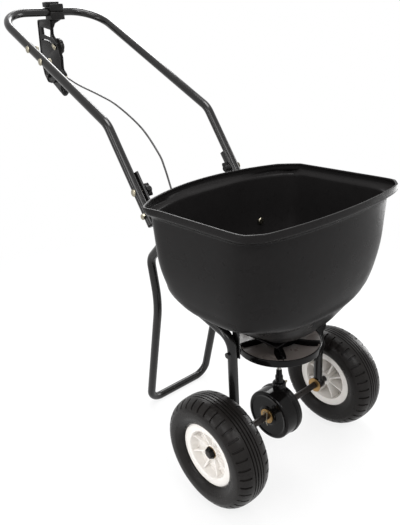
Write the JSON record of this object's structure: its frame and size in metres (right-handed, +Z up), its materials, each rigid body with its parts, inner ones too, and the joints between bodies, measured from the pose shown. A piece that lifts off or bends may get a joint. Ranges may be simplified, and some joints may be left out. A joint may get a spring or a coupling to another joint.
{
  "type": "broadcast spreader",
  "caption": "Push broadcast spreader with a deep black hopper, a gear-driven spinning disc, a tubular frame with a rest, a folding handle and a cable flow control.",
  "frame": {"origin": "middle of the footprint, on the floor under the wheels and stand", "axes": "+X to the operator's left, -Y the way it rolls forward, +Y towards the operator, +Z up"},
  "size_m": [0.5128, 1.1599, 1.1059],
  "materials": {
    "hopper_plastic": "satin moulded polyethylene",
    "black_plastic": "satin moulded",
    "gloss_black": "glossy moulded",
    "black_paint": "gloss black powder coat",
    "tyre_rubber": "matte rubber",
    "white_plastic": "satin moulded",
    "zinc": "bright zinc plate",
    "brass": "satin",
    "steel": "plain steel",
    "axle_steel": "dark oiled steel",
    "cable_black": "satin black jacket"
  },
  "bodies": {
    "frame": {"frame_tube_right": "black_paint", "frame_tube_left": "black_paint", "stand": "black_paint", "stand_bolt_right": "zinc", "stand_bolt_left": "zinc", "fold_bolt_right": "zinc", "fold_bolt_left": "zinc", "post_bolt_right": "black_paint", "post_bolt_left": "black_paint", "hopper_bracket_right": "black_paint", "hopper_bracket_left": "black_paint", "side_deflector": "black_plastic", "hopper": "hopper_plastic", "hopper_bushing": "white_plastic", "hopper_bolt_right": "zinc", "hopper_bolt_left": "zinc", "gate_rail_right": "black_plastic", "gate_rail_left": "black_plastic", "cable_bracket": "zinc", "cable_ferrule_lower": "zinc", "control_cable": "cable_black", "gearbox_housing_right": "gloss_black", "gearbox_housing_left": "gloss_black", "gearbox_bushing_right": "brass", "gearbox_bushing_left": "brass", "grease_fitting": "zinc", "axle_bushing_right": "brass", "axle_bushing_left": "brass"},
    "drive_axle": {"axle": "axle_steel", "axle_nut_right": "black_plastic", "axle_nut_left": "black_plastic", "drive_tyre": "tyre_rubber", "drive_rim": "white_plastic", "crown_gear": "steel", "gear_pin": "zinc", "hairpin_cotter": "zinc"},
    "free_wheel": {"free_tyre": "tyre_rubber", "free_rim": "white_plastic"},
    "spinner": {"impeller_shaft": "steel", "impeller_pinion": "steel", "impeller": "gloss_black", "agitator": "steel"},
    "shutter": {"gate": "steel"},
    "handle_bar": {"handle": "black_paint", "arm_bolt_upper": "zinc", "arm_bolt_lower": "zinc", "arm_plug_right": "black_plastic", "arm_plug_left": "black_plastic", "wing_bolt_right": "zinc", "wing_bolt_left": "zinc", "control_plate": "black_plastic", "clamp_cap": "black_plastic", "clamp_screw": "zinc", "cable_ferrule_upper": "zinc", "lever_bolt": "black_paint"},
    "lever": {"flow_lever": "black_plastic"},
    "stop": {"stop_slider": "zinc"},
    "stop_grip": {"stop_knob": "black_plastic"},
    "right_wing_knob": {"wing_knob_right": "black_plastic"},
    "left_wing_knob": {"wing_knob_left": "black_plastic"}
  },
  "joints": [
    {"name": "axle_spin", "type": "hinge", "parent": "frame", "child": "drive_axle", "pos_m": [0, -0.401, 0.133], "axis": [1, 0, 0], "continuous": true},
    {"name": "free_wheel_spin", "type": "hinge", "parent": "frame", "child": "free_wheel", "pos_m": [0.211, -0.401, 0.133], "axis": [1, 0, 0], "continuous": true},
    {"name": "impeller_spin", "type": "hinge", "parent": "frame", "child": "spinner", "pos_m": [0, -0.401, 0.328], "axis": [0, 0, 1], "continuous": true},
    {"name": "handle_fold", "type": "hinge", "parent": "frame", "child": "handle_bar", "pos_m": [0, -0.1415, 0.62], "axis": [-1, 0, 0], "range_deg": [0, 70], "deforming": ["control_cable"]},
    {"name": "flow_lever_pivot", "type": "hinge", "parent": "handle_bar", "child": "lever", "pos_m": [0, 0.549, 0.897], "axis": [1, 0, 0], "range_deg": [0, 40]},
    {"name": "gate_slide", "type": "slide", "parent": "frame", "child": "shutter", "axis": [0, -1, 0], "range_m": [0, 0.03]},
    {"name": "rate_stop", "type": "hinge", "parent": "handle_bar", "child": "stop", "pos_m": [0, 0.549, 0.897], "axis": [1, 0, 0], "range_deg": [-35, 0]},
    {"name": "stop_knob_turn", "type": "hinge", "parent": "stop", "child": "stop_grip", "pos_m": [0, 0.48505, 0.98279], "axis": [1, 0, 0], "range_deg": [0, 360]},
    {"name": "right_wing_knob_turn", "type": "hinge", "parent": "handle_bar", "child": "right_wing_knob", "pos_m": [-0.1359, -0.10838, 0.67003], "axis": [1, 0, 0], "range_deg": [0, 360]},
    {"name": "left_wing_knob_turn", "type": "hinge", "parent": "handle_bar", "child": "left_wing_knob", "pos_m": [0.1359, -0.10838, 0.67003], "axis": [1, 0, 0], "range_deg": [0, 360]}
  ],
  "couplings": [
    {"joint": "impeller_spin", "follows": "axle_spin", "ratio": 4},
    {"joint": "gate_slide", "follows": "flow_lever_pivot", "m_per_rad": 0.04297}
  ]
}
